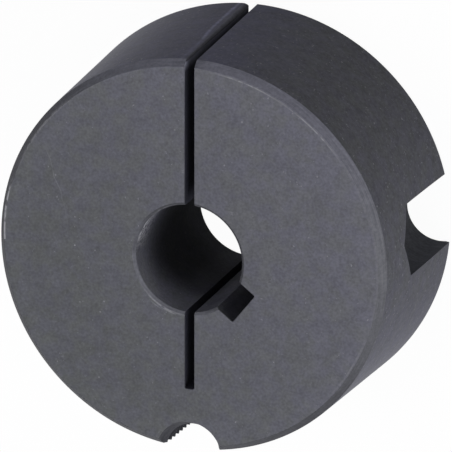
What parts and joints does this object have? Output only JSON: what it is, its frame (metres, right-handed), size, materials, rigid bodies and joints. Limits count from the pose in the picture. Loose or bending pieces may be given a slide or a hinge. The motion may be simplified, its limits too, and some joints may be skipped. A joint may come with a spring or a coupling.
{
  "type": "taper bush",
  "caption": "Split taper bush with keyed bore, a saw cut through one wall, blind half holes for clamping screws and a threaded half hole for the removal screw.",
  "frame": {"origin": "centre of the large end face, on the axis of the bore", "axes": "+Z along the bore's axis from the large end to the small end, +Y from the axis through the saw cut"},
  "size_m": [0.0696, 0.0693, 0.0318],
  "materials": {
    "blackened_iron": "matte blackened (phosphated) machined cast iron"
  },
  "bodies": {
    "root": {"bush_body": "blackened_iron"}
  },
  "joints": []
}
